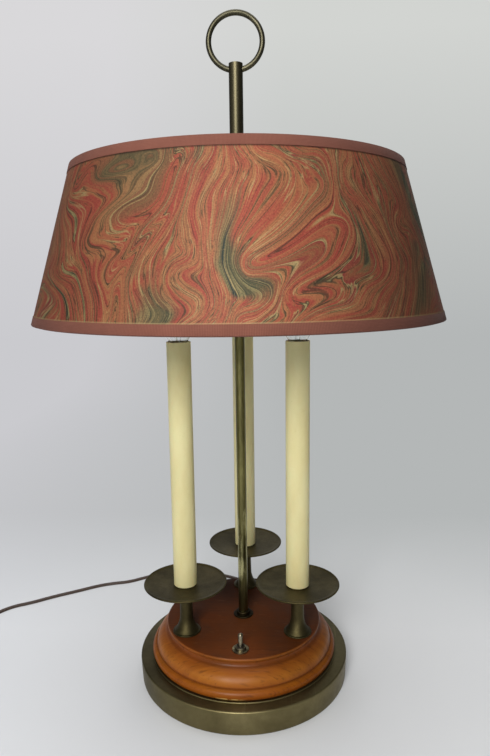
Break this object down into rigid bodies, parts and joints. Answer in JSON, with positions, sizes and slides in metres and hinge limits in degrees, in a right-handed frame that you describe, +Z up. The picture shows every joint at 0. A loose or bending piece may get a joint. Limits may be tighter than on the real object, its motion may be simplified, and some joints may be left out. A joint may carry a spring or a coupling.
{
  "type": "bouillotte lamp",
  "caption": "Table lamp with a sliding round paper shade and lifting ring over candle lights on a turned wooden plinth and brass foot.",
  "frame": {"origin": "on the table under the middle of the base", "axes": "+Z up the column; the toggle switch is at -Y and the cord leaves at +Y"},
  "size_m": [0.5796, 0.3911, 0.6316],
  "materials": {
    "plate_brass": "dark olive-brown aged brass, satin",
    "felt": "dark green felt",
    "board": "brown fibreboard",
    "iron": "rough cast iron",
    "plinth_wood": "red-brown stained and shaded hardwood, satin lacquer",
    "zinc_steel": "zinc-plated steel",
    "rod_brass": "worn antique brass, bright where rubbed",
    "collar_brass": "nearly black aged brass",
    "switch_shell": "black phenolic",
    "switch_metal": "dull nickel over brass",
    "lead_insulation": "cream insulation",
    "splice_plastic": "yellow plastic",
    "bushing_rubber": "dark brown rubber",
    "cord_brown": "dark brown vinyl",
    "plug_brown": "dark brown vinyl",
    "blade_brass": "bright brass",
    "tube_brass": "antique brass, satin",
    "ring_brass": "antique brass, satin",
    "fitting_brass": "antique brass",
    "marbled_paper": "marbled paper in terracotta, red, olive and dark teal on a stiff lining",
    "rim_tape": "dusty rose-brown tape",
    "shade_wire": "brass-plated steel wire",
    "pan_brass": "dark olive-brown aged brass, satin",
    "ivory_sleeve": "ivory plastic tube, matt",
    "socket_phenolic": "black phenolic",
    "bulb_glass": "clear glass"
  },
  "bodies": {
    "base": {"base_plate": "plate_brass", "felt_pad": "felt", "bottom_board": "board", "base_weight": "iron", "wood_plinth": "plinth_wood", "plinth_screws": "zinc_steel", "column_rod": "rod_brass", "column_collar": "collar_brass", "column_washer": "zinc_steel", "column_nut": "zinc_steel", "sleeve_seats": "pan_brass", "pipe_locknuts": "zinc_steel", "switch_body": "switch_shell", "switch_washer": "switch_metal", "switch_nut": "switch_metal", "socket_leads": "lead_insulation", "wire_splices": "splice_plastic", "supply_tail": "lead_insulation", "cord_bushing": "bushing_rubber", "mains_cord": "cord_brown", "cord_coil": "cord_brown", "plug_body": "plug_brown", "plug_blades": "blade_brass", "candle_foot_back": "pan_brass", "drip_pan_back": "pan_brass", "riser_pipe_back": "zinc_steel", "candle_sleeve_back": "ivory_sleeve", "socket_back": "socket_phenolic", "bulb_cap_back": "blade_brass", "bulb_glass_back": "bulb_glass", "candle_foot_left": "pan_brass", "drip_pan_left": "pan_brass", "riser_pipe_left": "zinc_steel", "candle_sleeve_left": "ivory_sleeve", "socket_left": "socket_phenolic", "bulb_cap_left": "blade_brass", "bulb_glass_left": "bulb_glass", "candle_foot_right": "pan_brass", "drip_pan_right": "pan_brass", "riser_pipe_right": "zinc_steel", "candle_sleeve_right": "ivory_sleeve", "socket_right": "socket_phenolic", "bulb_cap_right": "blade_brass", "bulb_glass_right": "bulb_glass"},
    "lift": {"upper_tube": "tube_brass", "tube_cap": "tube_brass", "lifting_ring": "ring_brass", "clamp_collar": "fitting_brass", "shade_shoulder": "fitting_brass", "shade_nut": "fitting_brass"},
    "shade": {"shade_hub": "fitting_brass", "spider_arms": "shade_wire", "shade_paper": "marbled_paper", "top_tape": "rim_tape", "bottom_tape": "rim_tape", "top_wire": "shade_wire", "bottom_wire": "shade_wire"},
    "lock_screw": {"thumb_screw": "fitting_brass"},
    "switch": {"switch_lever": "switch_metal"}
  },
  "joints": [
    {"name": "shade_height", "type": "slide", "parent": "base", "child": "lift", "axis": [0, 0, 1], "range_m": [-0.03, 0.06]},
    {"name": "shade_turn", "type": "hinge", "parent": "lift", "child": "shade", "pos_m": [0, 0, 0.4755], "axis": [0, 0, 1], "continuous": true},
    {"name": "lock_turn", "type": "hinge", "parent": "lift", "child": "lock_screw", "pos_m": [0, 0, 0.395], "axis": [0.866, 0.5, 0], "range_deg": [-540, 0]},
    {"name": "switch_throw", "type": "hinge", "parent": "base", "child": "switch", "pos_m": [0, -0.0626, 0.0579], "axis": [1, 0, 0], "range_deg": [0, 28]}
  ]
}
